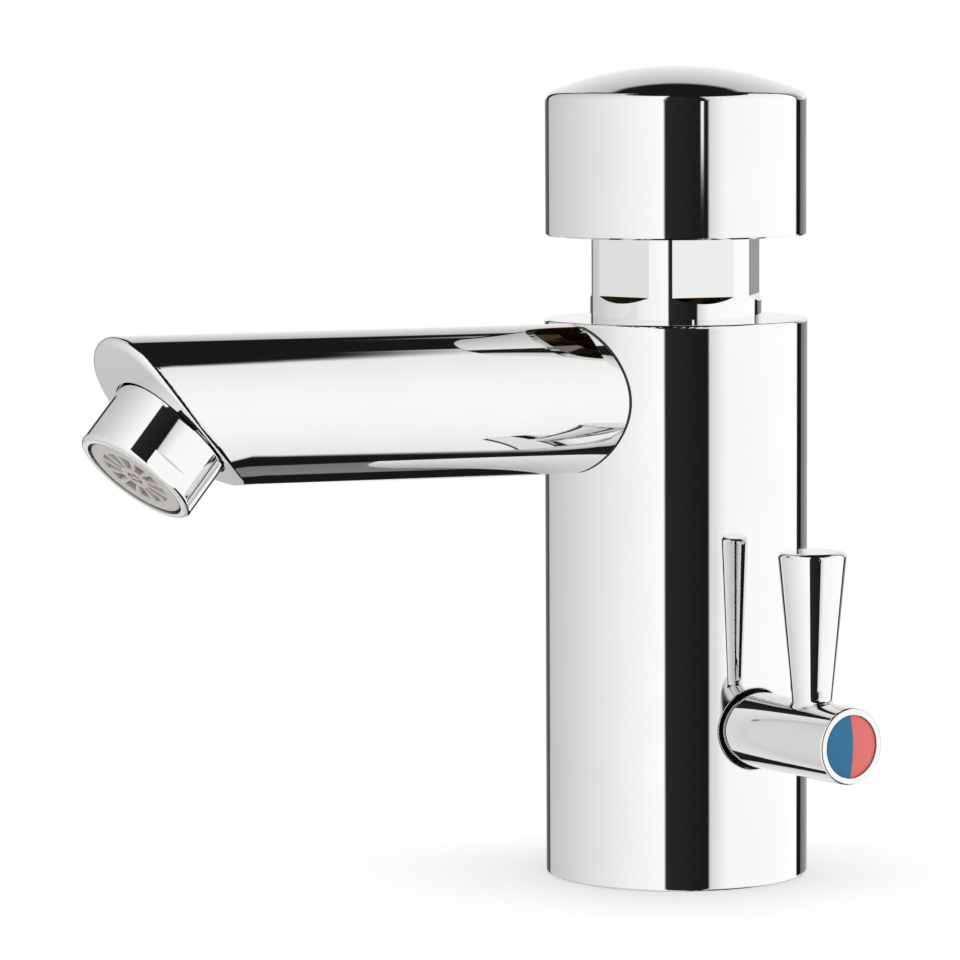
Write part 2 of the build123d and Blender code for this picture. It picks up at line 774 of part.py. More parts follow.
def make_push_button():
    """Domed cap with an inner boss for the rod."""
    cap = dome_solid(button_radius, button_bottom, 0)
    cap = fillet(rims(cap, button_radius)[-1], button_edge_round)
    cap = chamfer(rims(cap, button_radius)[0], button_lower_break)
    cap -= dome_solid(button_radius - button_wall, button_bottom - overrun, button_wall)
    cap += dome_solid(button_boss_radius, boss_bottom, button_wall / 2)
    hole_top = boss_bottom + rod_engagement + seat_play
    return cap - disc(rod_radius + seat_play, boss_bottom - overrun, hole_top)


def make_button_lock_nut():
    """Nut that locks the rod under the button's boss."""
    nut = hexagon(lock_nut_half_width, lock_nut_bottom, boss_bottom)
    return on_rod(nut, lock_nut_bottom, boss_bottom)


def make_mixer_gland():
    """Gland screwed into the mixer bore, which carries the spindle and the stop pin."""
    gland = disc(gland_radius, gland_back, gland_front)
    gland -= disc(spindle_radius + running_play, gland_back - overrun, gland_front + overrun)
    gland -= ring_groove(gland_radius, (gland_back + gland_front) / 2)
    gland -= disc(
        stop_pin_radius + seat_play,
        gland_back - overrun,
        gland_back + spindle_flange_thickness,
        0,
        stop_pin_circle_radius,
    )
    return mixer * gland


def make_gland_o_ring():
    """Seal round the gland."""
    return mixer * ring_seal(gland_radius, (gland_back + gland_front) / 2)


def make_barrel_seal():
    """Flat seal on the gland's face, which closes the mouth behind the lever's barrel."""
    outer = mixer_mouth_radius - seat_play
    inner = spindle_radius + running_play
    return mixer * tube(outer, inner, gland_front, barrel_back - face_play)


def make_stop_pin():
    """Pin in the gland that stops the spindle's flange at both ends of its swing."""
    low = flange_front - spindle_flange_thickness / 2 + face_play
    high = gland_back + spindle_flange_thickness - seat_play
    return mixer * disc(stop_pin_radius, low, high, 0, stop_pin_circle_radius)


def make_fixed_disc():
    """Ceramic disc with the mixed, cold and hot ports."""
    plate = disc(gland_radius, fixed_disc_back, fixed_disc_front)
    for x, y in port_places():
        plate -= disc(port_radius, fixed_disc_back - overrun, fixed_disc_front + overrun, x, y)
    return mixer * plate


def make_port_seals():
    """Rubber rings between the fixed disc and the bore's floor, one at each port."""
    outer = port_radius + port_seal_wall
    return [
        mixer * tube(outer, port_radius, mixer_floor, fixed_disc_back, x, y)
        for x, y in port_places()
    ]


def make_turning_disc():
    """Ceramic disc whose curved groove joins the ports as it turns."""
    plate = disc(turning_disc_radius, turning_disc_back, turning_disc_front)
    low, high = turning_disc_back - overrun, turning_disc_back + mixing_groove_depth
    span = 180 + lever_swing
    groove = sector(port_circle_radius + port_radius, low, high, 90 - span / 2, span)
    groove -= disc(port_circle_radius - port_radius, low - overrun, high + overrun)
    return mixer * (plate - groove)


def d_bar(radius, flat, low, high):
    """Round bar with one driving flat on its upper side."""
    reach = radius + overrun
    above = block(2 * reach, reach, low - overrun, high + overrun, 0, flat + reach / 2)
    return disc(radius, low, high) - above


def spindle_seal_places():
    """Places of the spindle's two O-rings along the gland."""
    length = gland_front - gland_back
    return [gland_back + length * k / 3 for k in (1, 2)]


def make_mixer_spindle():
    """Spindle: slotted flange, grooved stem, D-shaped end and a tapped hole."""
    spindle = disc(turning_disc_radius, turning_disc_front, flange_front)
    spindle += disc(spindle_radius, turning_disc_front, barrel_back)
    spindle += d_bar(spindle_radius, spindle_flat, barrel_back, spindle_end)
    for place in spindle_seal_places():
        spindle -= ring_groove(spindle_radius, place)
    spindle -= disc(screw_radius, spindle_end - screw_grip, spindle_end + overrun)
    pin_angle = math.degrees(math.asin(stop_pin_radius / stop_pin_circle_radius))
    span = 2 * (lever_swing + pin_angle + stop_margin)
    low, high = flange_front - spindle_flange_thickness / 2, flange_front + overrun
    slot = sector(turning_disc_radius + overrun, low, high, 90 - span / 2, span)
    inner = stop_pin_circle_radius - stop_pin_radius - face_play
    return mixer * (spindle - (slot - disc(inner, low - overrun, high + overrun)))


def make_spindle_o_rings():
    """The spindle's two seals."""
    return [mixer * ring_seal(spindle_radius, place) for place in spindle_seal_places()]


def make_temperature_lever():
    """Barrel and tapered lever in one casting, bored for the spindle, screw and index."""
    barrel = disc(barrel_radius, barrel_back, barrel_reach)
    barrel = mixer * fillet(rims(barrel, barrel_radius)[-1], barrel_edge_round)
    crest = mixer_height + barrel_radius
    growth = (lever_top_radius - lever_foot_radius) / (lever_height - crest)
    lever = Cone(
        lever_foot_radius - barrel_radius * growth,
        lever_top_radius,
        lever_height - mixer_height,
        align=(Align.CENTER, Align.CENTER, Align.MIN),
    )
    lever = Pos(lever_offset, 0, mixer_height) * lever
    lever = fillet(rims(lever, lever_top_radius)[-1], lever_top_round)
    casting = barrel + lever
    casting = fillet(seams(casting), lever_fillet)
    socket_end = barrel_back + spindle_engagement
    casting -= mixer * d_bar(
        spindle_radius + seat_play, spindle_flat + seat_play, barrel_back - overrun, socket_end
    )
    casting -= mixer * disc(screw_radius + seat_play, barrel_back, barrel_reach)
    casting -= mixer * disc(screw_cavity_radius, web_front, barrel_reach)
    casting -= mixer * disc(index_radius + seat_play, index_seat, barrel_reach + overrun)
    return casting


def make_lever_screw():
    """Cap screw that holds the lever on the spindle."""
    tip = spindle_end - screw_grip + face_play
    screw = disc(screw_radius - seat_play, tip, web_front)
    screw += disc(screw_head_radius, web_front, web_front + screw_head_height)
    socket_floor_z = web_front + screw_head_height / 2
    screw -= hexagon(hex_key_half_width, socket_floor_z, web_front + screw_head_height + overrun)
    return mixer * screw


def make_index_half(side):
    """Half of the crowned colour disc; side is -1 for cold and 1 for hot."""
    rim = barrel_reach - index_setback
    crown_radius = (index_radius**2 + index_crown**2) / (2 * index_crown)
    ball = Pos(0, 0, rim + index_crown - crown_radius) * Sphere(crown_radius)
    plug = disc(index_radius, index_seat, rim + index_crown) & ball
    half = block(
        index_radius + overrun,
        2 * (index_radius + overrun),
        index_seat - overrun,
        rim + index_crown + overrun,
        side * (index_radius + overrun) / 2,
    )
    return mixer * (plug & half)


def make_inlet_union(side):
    """Threaded union for a supply hose; side is -1 for cold and 1 for hot."""
    place = (union_x, side * union_y)
    spigot_top = recess_roof + union_spigot_length
    union = disc(union_radius, union_bottom, union_shoulder, *place)
    union += disc(union_spigot_radius, union_shoulder, spigot_top, *place)
    thread_top = union_bottom + union_thread_length
    union -= disc(union_thread_radius, union_bottom - overrun, thread_top, *place)
    union -= disc(check_valve_radius + seat_play, union_bottom, spigot_top - union_top_wall, *place)
    union -= disc(union_way_radius, union_bottom, spigot_top + overrun, *place)
    low, high = union_bottom - overrun, union_bottom + union_flat_length
    return union - flats(union_flat_half_width, union_radius, low, high, *place)


def make_check_valve(side):
    """Non-return valve cartridge: a bored case with a stemmed poppet on a spider."""
    place = (union_x, side * union_y)
    low = union_bottom + union_thread_length + seat_play
    high = recess_roof + union_spigot_length - union_top_wall - seat_play
    case = tube(check_valve_radius, check_valve_radius - check_valve_wall, low, high, *place)
    web = check_valve_wall
    case += block(2 * check_valve_radius - web, web, low, low + web, *place)
    case += disc(check_stem_radius, low, high - web, *place)
    return case + disc(check_poppet_radius, high - 2 * web, high - web, *place)


def make_union_gaskets():
    """Fibre rings between the unions and the recess's roof."""
    inner = union_spigot_radius + seat_play
    return [
        tube(union_radius, inner, union_shoulder, recess_roof, union_x, side * union_y)
        for side in (-1, 1)
    ]


def make_stud_bush():
    """Threaded bush for the fixing stud."""
    bush = disc(stud_bush_radius, fitting_setback, recess_roof, stud_offset)
    bush += disc(stud_spigot_radius, recess_roof, recess_roof + stud_spigot_length, stud_offset)
    thread_top = recess_roof - union_gasket_thickness / 2
    return bush - disc(stud_thread_radius, fitting_setback - overrun, thread_top, stud_offset)


pieces = {
    "tap_body": make_tap_body(),
    "base_seal": make_base_seal(),
    "spout": make_spout(),
    "spout_gasket": make_spout_gasket(),
    "spout_o_ring": make_spout_o_ring(),
    "aerator_ring": make_aerator_ring(),
    "aerator_insert": make_aerator_insert(),
    "aerator_disperser": make_aerator_disperser(),
    "aerator_screens": make_aerator_screens(),
    "aerator_washer": make_aerator_washer(),
    "cartridge_nut": make_cartridge_nut(),
    "nut_o_ring": make_nut_o_ring(),
    "rod_guide": make_rod_guide(),
    "rod_seal": make_rod_seal(),
    "timing_cylinder": make_timing_cylinder(),
    "cylinder_o_ring": make_cylinder_o_ring(),
    "valve_seat": make_valve_seat(),
    "seat_gasket": make_seat_gasket(),
    "return_spring": make_return_spring(),
    "push_rod": make_push_rod(),
    "piston": make_piston(),
    "piston_seal": make_piston_seal(),
    "piston_clips": make_piston_clips(),
    "valve_washer": make_valve_washer(),
    "washer_cup": make_washer_cup(),
    "rod_end_nut": make_rod_end_nut(),
    "push_button": make_push_button(),
    "button_lock_nut": make_button_lock_nut(),
    "mixer_gland": make_mixer_gland(),
    "gland_o_ring": make_gland_o_ring(),
    "barrel_seal": make_barrel_seal(),
    "stop_pin": make_stop_pin(),
    "fixed_disc": make_fixed_disc(),
    "port_seals": make_port_seals(),
    "turning_disc": make_turning_disc(),
    "mixer_spindle": make_mixer_spindle(),
    "spindle_o_rings": make_spindle_o_rings(),
    "temperature_lever": make_temperature_lever(),
    "lever_screw": make_lever_screw(),
    "cold_index": make_index_half(-1),
    "hot_index": make_index_half(1),
    "cold_inlet_union": make_inlet_union(-1),
    "hot_inlet_union": make_inlet_union(1),
    "cold_check_valve": make_check_valve(-1),
    "hot_check_valve": make_check_valve(1),
    "union_gaskets": make_union_gaskets(),
    "stud_bush": make_stud_bush(),
}

os.makedirs("parts", exist_ok=True)
for name, piece in pieces.items():
    shape = Compound(children=piece) if isinstance(piece, list) else piece
    export_step(shape, f"parts/{name}.step")
    print(name, round(shape.volume, 1))
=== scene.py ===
"""A chromed push timed tap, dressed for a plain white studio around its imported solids.

The solids are the frame and are never moved or reshaped. Each gets the finish of its real
material, the outlet's insert is modelled afresh in its place with finer cells, and a soft
studio with dark gaps gives the polished chrome what it mirrors.
"""

from __future__ import annotations

import json
import logging
from dataclasses import asdict, dataclass, replace
from enum import Enum
from math import atan2, cos, degrees, hypot, pi, radians, sin
from typing import Any, Callable, Iterable

import bpy
from mathutils import Matrix, Vector

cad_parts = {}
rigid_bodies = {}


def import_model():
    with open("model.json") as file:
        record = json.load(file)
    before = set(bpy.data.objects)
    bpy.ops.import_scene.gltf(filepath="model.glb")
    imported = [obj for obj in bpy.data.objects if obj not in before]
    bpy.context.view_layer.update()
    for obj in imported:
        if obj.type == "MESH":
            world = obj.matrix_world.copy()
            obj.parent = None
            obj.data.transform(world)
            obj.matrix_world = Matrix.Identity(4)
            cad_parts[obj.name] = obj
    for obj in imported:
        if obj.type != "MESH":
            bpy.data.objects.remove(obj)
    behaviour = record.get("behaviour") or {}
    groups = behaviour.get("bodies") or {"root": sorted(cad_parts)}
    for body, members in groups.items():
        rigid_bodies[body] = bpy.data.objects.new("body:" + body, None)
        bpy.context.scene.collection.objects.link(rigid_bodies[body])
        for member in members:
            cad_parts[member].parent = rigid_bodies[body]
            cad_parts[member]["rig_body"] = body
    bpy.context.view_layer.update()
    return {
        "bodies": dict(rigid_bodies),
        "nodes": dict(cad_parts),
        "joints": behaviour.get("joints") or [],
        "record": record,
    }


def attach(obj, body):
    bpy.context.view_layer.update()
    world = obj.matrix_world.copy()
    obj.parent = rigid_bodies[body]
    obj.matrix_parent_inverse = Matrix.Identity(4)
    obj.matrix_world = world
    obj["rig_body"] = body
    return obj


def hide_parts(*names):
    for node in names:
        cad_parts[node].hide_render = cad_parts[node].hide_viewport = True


LOG = logging.getLogger("tap")
MM = 0.001
# How far the outlet's axis leans forwards from the upright, in degrees.
OUTLET_TILT = 42.0
# Edges sharper than this, in degrees, stay sharp in the shading.
SMOOTH_ANGLE = 30.0
# Two places closer than this, in millimetres, are the same place.
HAIR = 0.01
# A face lies square to the axis where its normal holds more of the axis than the first
# share, and runs along the axis where it holds less than the second.
SQUARE, ALONG = 0.9, 0.1
# The mix node's inputs for two colours, and its output for their mix.
FIRST_COLOUR, SECOND_COLOUR, MIXED_COLOUR = 6, 7, 2

Frame = dict[str, Any]
Links = dict[str | int, Any]
Tree = bpy.types.NodeTree
Node = bpy.types.Node
Socket = bpy.types.NodeSocket


def linear(code: str) -> tuple[float, float, float, float]:
    """Turns a written colour into the light values that a shader takes.

    Args:
        code: an sRGB colour as six hex digits after a hash sign.

    Returns:
        Linear red, green and blue, and a full alpha.
    """
    shares = [int(code[i : i + 2], 16) / 255 for i in (1, 3, 5)]
    low = [s / 12.92 if s <= 0.04045 else ((s + 0.055) / 1.055) ** 2.4 for s in shares]
    return (low[0], low[1], low[2], 1.0)


def add_node(tree: Tree, kind: str, links: Links | None = None, **settings: Any) -> Node:
    """Adds one node with its settings, and sets or links its inputs.

    Args:
        tree: the node tree it goes into.
        kind: the node's type name.
        links: for each input, by name or number, a value or another node's output.
        settings: the node's own options.

    Returns:
        The new node.
    """
    node = tree.nodes.new(kind)
    for name, value in settings.items():
        setattr(node, name, value)
    for key, value in (links or {}).items():
        if isinstance(value, Socket):
            tree.links.new(value, node.inputs[key])
        else:
            node.inputs[key].default_value = value
    return node


def compute(tree: Tree, operation: str, *values: Any) -> Socket:
    """Adds one sum, product or other function of one to three values.

    Args:
        tree: the node tree it goes into.
        operation: the function's name.
        values: numbers or other nodes' outputs, in order.

    Returns:
        The result's output.
    """
    links = dict(enumerate(values))
    return add_node(tree, "ShaderNodeMath", links, operation=operation).outputs[0]


def radius_and_height(tree: Tree, place: Socket) -> tuple[Socket, Socket]:
    """Adds what splits a place into its distance from the upright axis and its height.

    Args:
        tree: the node tree it goes into.
        place: the place as a vector output.

    Returns:
        The distance and the height as outputs.
    """
    parts = add_node(tree, "ShaderNodeSeparateXYZ", {0: place}).outputs
    flat = add_node(tree, "ShaderNodeCombineXYZ", {0: parts[0], 1: parts[1]}).outputs[0]
    length = add_node(tree, "ShaderNodeVectorMath", {0: flat}, operation="LENGTH")
    return length.outputs["Value"], parts[2]


def blend(tree: Tree, factor: Any, first: Any, second: Any) -> Socket:
    """Adds a mix of two numbers.

    Args:
        tree: the node tree it goes into.
        factor: the second's share.
        first: a number or an output.
        second: a number or an output.

    Returns:
        The mixed number's output.
    """
    links = {"Factor": factor, "A": first, "B": second}
    return add_node(tree, "ShaderNodeMix", links).outputs[0]


def blend_colours(tree: Tree, factor: Any, first: Any, second: Any) -> Socket:
    """Adds a mix of two colours.

    Args:
        tree: the node tree it goes into.
        factor: the second's share.
        first: a linear colour or an output.
        second: a linear colour or an output.

    Returns:
        The mixed colour's output.
    """
    links = {"Factor": factor, FIRST_COLOUR: first, SECOND_COLOUR: second}
    return add_node(tree, "ShaderNodeMix", links, data_type="RGBA").outputs[MIXED_COLOUR]


def ramp(
    tree: Tree,
    value: Any,
    start: tuple[float, float],
    end: tuple[float, float] = (0.0, 1.0),
    **settings: Any,
) -> Socket:
    """Adds what carries one span of numbers over to another.

    Args:
        tree: the node tree it goes into.
        value: the number that is carried over.
        start: the span it comes from.
        end: the span it goes to.
        settings: the node's own options.

    Returns:
        The new number's output.
    """
    links = {
        "Value": value,
        "From Min": start[0],
        "From Max": start[1],
        "To Min": end[0],
        "To Max": end[1],
    }
    return add_node(tree, "ShaderNodeMapRange", links, **settings).outputs[0]


def new_material(name: str) -> tuple[bpy.types.Material, Tree, Node]:
    """Makes an empty material that ends in one Principled shader.

    Args:
        name: the finish's name.

    Returns:
        The material, its node tree and the shader node.
    """
    material = bpy.data.materials.new(name)
    material.use_nodes = True
    tree = material.node_tree
    tree.nodes.clear()
    shader = add_node(tree, "ShaderNodeBsdfPrincipled")
    add_node(tree, "ShaderNodeOutputMaterial", {"Surface": shader.outputs[0]})
    return material, tree, shader


@dataclass(frozen=True)
class Finish:
    """What one real material looks like when its surface is made one way.

    Grain and relief are real sizes in millimetres. The roughness is given where the pattern
    is lowest and where it's highest, and colour and relief vary with the same pattern.
    """

    name: str
    colour: str
    second_colour: str
    metallic: float
    roughness: tuple[float, float]
    grain: float
    relief: float
    detail: float = 3.0
    sockets: tuple[tuple[str, float], ...] = ()

    def pattern(self, tree: Tree, piece: bpy.types.Object) -> Socket:
        """Gives the value from 0 to 1 that the finish varies with.

        Args:
            tree: the material's node tree.
            piece: the object that is dressed, not used here.

        Returns:
            The pattern's output.
        """
        place = add_node(tree, "ShaderNodeTexCoord").outputs["Object"]
        return self.noise(tree, place)

    def noise(self, tree: Tree, place: Socket, **settings: Any) -> Socket:
        """Adds noise of the finish's own grain.

        Args:
            tree: the material's node tree.
            place: where it's read, as a vector output.
            settings: the node's own options.

        Returns:
            The noise's output, from 0 to 1.
        """
        links = {"Vector": place, "Scale": 1 / (self.grain * MM), "Detail": self.detail}
        return add_node(tree, "ShaderNodeTexNoise", links, **settings).outputs["Fac"]

    def cover(self, tree: Tree, colour: Socket, rough: Socket) -> tuple[Socket, Socket]:
        """Gives the colour and roughness that show, which here are the finish's own.

        Args:
            tree: the material's node tree, not used here.
            colour: the finish's colour as an output.
            rough: its roughness as an output.

        Returns:
            The colour and the roughness as outputs.
        """
        return colour, rough

    def dress(self, piece: bpy.types.Object) -> None:
        """Builds the material on a piece and puts it in all of the piece's slots.

        Args:
            piece: a solid of the frame or a piece modelled here.
        """
        material, tree, shader = new_material(f"{self.name}_{piece.name}")
        value = self.pattern(tree, piece)
        colour = blend_colours(tree, value, linear(self.colour), linear(self.second_colour))
        rough = ramp(tree, value, (0.0, 1.0), self.roughness)
        shown, dullness = self.cover(tree, colour, rough)
        tree.links.new(shown, shader.inputs["Base Color"])
        tree.links.new(dullness, shader.inputs["Roughness"])
        shader.inputs["Metallic"].default_value = self.metallic
        for socket, number in self.sockets:
            shader.inputs[socket].default_value = number
        links = {"Height": value, "Distance": self.relief * MM, "Strength": 1.0}
        bump = add_node(tree, "ShaderNodeBump", links)
        tree.links.new(bump.outputs[0], shader.inputs["Normal"])
        put_material(piece, material)


@dataclass(frozen=True)
class PlatedFinish(Finish):
    """A plated casting whose hollow inside stays bare, up to a height, round the upright axis.

    Lengths are in millimetres. The bare brass's colour is darkened as painted shade in the
    hollow.
    """

    bare_radius: float = 0.0
    bare_top: float = 0.0
    # Bare cast brass, with its colour darkened as painted shade in the hollow.
    shaded_bare_colour: str = "#86734f"
    bare_roughness: float = 0.55

    def cover(self, tree: Tree, colour: Socket, rough: Socket) -> tuple[Socket, Socket]:
        """Gives bare cast brass, darkened as painted shade, inside the hollow, and the plating
        everywhere else.

        Args:
            tree: the material's node tree.
            colour: the plating's colour as an output.
            rough: its roughness as an output.

        Returns:
            The colour and the roughness as outputs.
        """
        place = add_node(tree, "ShaderNodeTexCoord").outputs["Object"]
        radius, height = radius_and_height(tree, place)
        # This mask marks the bare brass, which also paints shade into the hollow.
        within = compute(tree, "LESS_THAN", radius, self.bare_radius * MM)
        below = compute(tree, "LESS_THAN", height, self.bare_top * MM)
        bare = compute(tree, "MULTIPLY", within, below)
        shown = blend_colours(tree, bare, colour, linear(self.shaded_bare_colour))
        return shown, blend(tree, bare, rough, self.bare_roughness)


class Axis(Enum):
    """The directions that the tap's pieces were turned about, as turns onto the upright."""

    UPRIGHT = (0.0, 0.0, 0.0)
    SIDEWAYS = (0.0, radians(90), 0.0)
    OUTLET = (radians(OUTLET_TILT), 0.0, 0.0)


@dataclass(frozen=True)
class TurnedFinish(Finish):
    """A metal cut on a lathe: fine rings run round the axis that the piece was turned about."""

    axis: Axis = Axis.UPRIGHT

    def pattern(self, tree: Tree, piece: bpy.types.Object) -> Socket:
        """Gives rings a lathe tool's feed apart, worked out from the distance to the axis.

        Args:
            tree: the material's node tree.
            piece: the object that is dressed, whose middle the axis passes through.

        Returns:
            The pattern's output.
        """
        low, high = box_of(piece)
        place = add_node(tree, "ShaderNodeTexCoord").outputs["Object"]
        shift = {0: place, 1: (low + high) / 2}
        centred = add_node(tree, "ShaderNodeVectorMath", shift, operation="SUBTRACT").outputs[0]
        turn = {"Vector": centred, "Rotation": self.axis.value}
        turned = add_node(tree, "ShaderNodeVectorRotate", turn, rotation_type="EULER_XYZ")
        radius, height = radius_and_height(tree, turned.outputs[0])
        rings = add_node(tree, "ShaderNodeCombineXYZ", {0: radius, 1: height}).outputs[0]
        return self.noise(tree, rings, noise_dimensions="2D")


# Chromium plate over polished brass mirrors its surroundings, with a faint slow waviness.
CHROME = Finish(
    "chrome_plate",
    "#e7e7e6",
    "#e2e2e1",
    metallic=1.0,
    roughness=(0.028, 0.045),
    grain=14.0,
    relief=0.006,
    detail=1.0,
)
# The body is bare brass inside its foot's recess and its bores, and the cap is bare inside.
# That bare brass is darkened as painted shade.
BODY_CHROME = PlatedFinish(**asdict(CHROME), bare_radius=20.7, bare_top=105.0)
CAP_CHROME = PlatedFinish(**asdict(CHROME), bare_radius=22.75, bare_top=148.0)
# Turned brass is warm yellow, and the tool leaves fine rings.
BRASS = TurnedFinish(
    "turned_brass",
    "#c9a765",
    "#b8934f",
    metallic=1.0,
    roughness=(0.22, 0.36),
    grain=0.25,
    relief=0.004,
)
# Stainless steel, drawn to wire or turned, is a duller and warmer grey than chrome.
STAINLESS = TurnedFinish(
    "turned_stainless",
    "#c4c3c0",
    "#adaca9",
    metallic=1.0,
    roughness=(0.2, 0.34),
    grain=0.2,
    relief=0.003,
)
# Moulded nitrile rubber is nearly black, with a soft sheen.
RUBBER = Finish(
    "nitrile_rubber",
    "#1d1d1e",
    "#28282a",
    metallic=0.0,
    roughness=(0.5, 0.66),
    grain=0.6,
    relief=0.01,
)
# Machined acetal is milky white and waxy.
ACETAL = Finish(
    "acetal",
    "#e3e1da",
    "#d6d4cc",
    metallic=0.0,
    roughness=(0.32, 0.42),
    grain=2.5,
    relief=0.004,
)
# The outlet insert is moulded acetal, a little warm, grey and matt.
INSERT = Finish(
    "moulded_acetal",
    "#b7b4ae",
    "#aaa7a0",
    metallic=0.0,
    roughness=(0.38, 0.52),
    grain=1.6,
    relief=0.006,
)
# Sintered alumina is lapped flat, and shows as dense off-white with a polish.
CERAMIC = Finish(
    "lapped_alumina",
    "#ece7dc",
    "#dfd9cc",
    metallic=0.0,
    roughness=(0.16, 0.24),
    grain=0.8,
    relief=0.001,
)
# The two halves of the index are moulded ABS with a soft gloss.
BLUE = Finish(
    "blue_abs",
    "#236187",
    "#296a90",
    metallic=0.0,
    roughness=(0.16, 0.24),
    grain=3.0,
    relief=0.002,
    sockets=(("Specular IOR Level", 0.25),),
)
RED = replace(BLUE, name="red_abs", colour="#cc6462", second_colour="#d26b69")
# Pressed aramid fibre gaskets are a matt grey-green with short flecks.
FIBRE = Finish(
    "pressed_fibre",
    "#6f7b70",
    "#8c968a",
    metallic=0.0,
    roughness=(0.7, 0.85),
    grain=0.35,
    relief=0.02,
)


def put_material(piece: bpy.types.Object, material: bpy.types.Material) -> None:
    """Puts one material in every slot of a piece, or in a first slot where it has none."""
    if not piece.material_slots:
        piece.data.materials.append(material)
    for place in piece.material_slots:
        place.material = material


def box_of(piece: bpy.types.Object) -> tuple[Vector, Vector]:
    """Gives the lowest and highest corner of a piece's mesh."""
    points = [vertex.co for vertex in piece.data.vertices]
    low = Vector([min(p[i] for p in points) for i in range(3)])
    high = Vector([max(p[i] for p in points) for i in range(3)])
    return low, high


class Mesher:
    """Shapes the active object in edit mode, choosing its faces and edges by their place."""

    def __init__(self, name: str) -> None:
        """Takes the object that a primitive operator has just added, and names it."""
        self.piece = bpy.context.object
        self.piece.name = name
        self.piece.data.name = name

    @classmethod
    def start(cls, add: Callable[..., Any], name: str, **sizes: Any) -> Mesher:
        """Adds a primitive with nothing else selected.

        Args:
            add: the primitive's operator.
            name: the piece's name.
            sizes: what the operator is given.

        Returns:
            A mesher that holds the new object.
        """
        bpy.ops.object.select_all(action="DESELECT")
        add(**sizes)
        return cls(name)

    def choose(self, test: Callable[[Any], bool], part: str = "polygons") -> None:
        """Selects only the faces or edges that pass a test, and enters edit mode.

        Args:
            test: takes a face or an edge of the mesh.
            part: the mesh collection that is tested.
        """
        bpy.ops.object.mode_set(mode="EDIT")
        modes = {"polygons": "FACE", "edges": "EDGE"}
        bpy.ops.mesh.select_mode(type=modes[part])
        bpy.ops.mesh.select_all(action="DESELECT")
        bpy.ops.object.mode_set(mode="OBJECT")
        for item in getattr(self.piece.data, part):
            item.select = test(item)
        bpy.ops.object.mode_set(mode="EDIT")

    def push(self, depth: float) -> None:
        """Extrudes what is chosen along the piece's axis, by a depth in millimetres."""
        along = Vector((0.0, 0.0, depth * MM))
        bpy.ops.mesh.extrude_region_move(TRANSFORM_OT_translate={"value": along})

    def widen(self, share: float) -> None:
        """Scales what is chosen about the piece's axis, in its own plane."""
        bpy.ops.transform.resize(value=(share, share, 1.0), center_override=(0.0, 0.0, 0.0))

    def place(self, matrix: Matrix) -> bpy.types.Object:
        """Shades the finished piece, moves it to its place and applies that place.

        Args:
            matrix: from the piece's own axes to the tap's.

        Returns:
            The finished object, at the origin.
        """
        bpy.ops.object.mode_set(mode="OBJECT")
        bpy.ops.object.select_all(action="DESELECT")
        self.piece.select_set(True)
        bpy.context.view_layer.objects.active = self.piece
        bpy.ops.object.shade_smooth_by_angle(angle=radians(SMOOTH_ANGLE))
        self.piece.matrix_world = matrix @ self.piece.matrix_world
        bpy.ops.object.transform_apply(location=True, rotation=True, scale=True)
        return self.piece


def report(piece: bpy.types.Object, body: str) -> None:
    """Logs a piece's name, body and number of faces."""
    LOG.info("%s rides on %s, %d faces", piece.name, body, len(piece.data.polygons))


@dataclass
class SubAssembly:
    """A group of the tap's solids that share a place, each with its finish."""

    frame: Frame

    def finishes(self) -> dict[str, Finish]:
        """Gives each solid's finish by the solid's name."""
        return {}

    def build(self) -> None:
        """Dresses the solids and models what needs a finer form."""
        for name, finish in self.finishes().items():
            piece = self.frame["nodes"][name]
            finish.dress(piece)
            report(piece, piece["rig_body"])


@dataclass
class Casting(SubAssembly):
    """The standing body, its foot seal and the spout screwed into it."""

    def finishes(self) -> dict[str, Finish]:
        """Gives the finish of the body, the spout and their seals."""
        return {
            "tap_body": BODY_CHROME,
            "spout": CHROME,
            # The black gasket seals the spout's joint, and also darkens the seam there as
            # painted shade.
            "spout_gasket": RUBBER,
            "spout_o_ring": RUBBER,
            "base_seal": RUBBER,
        }


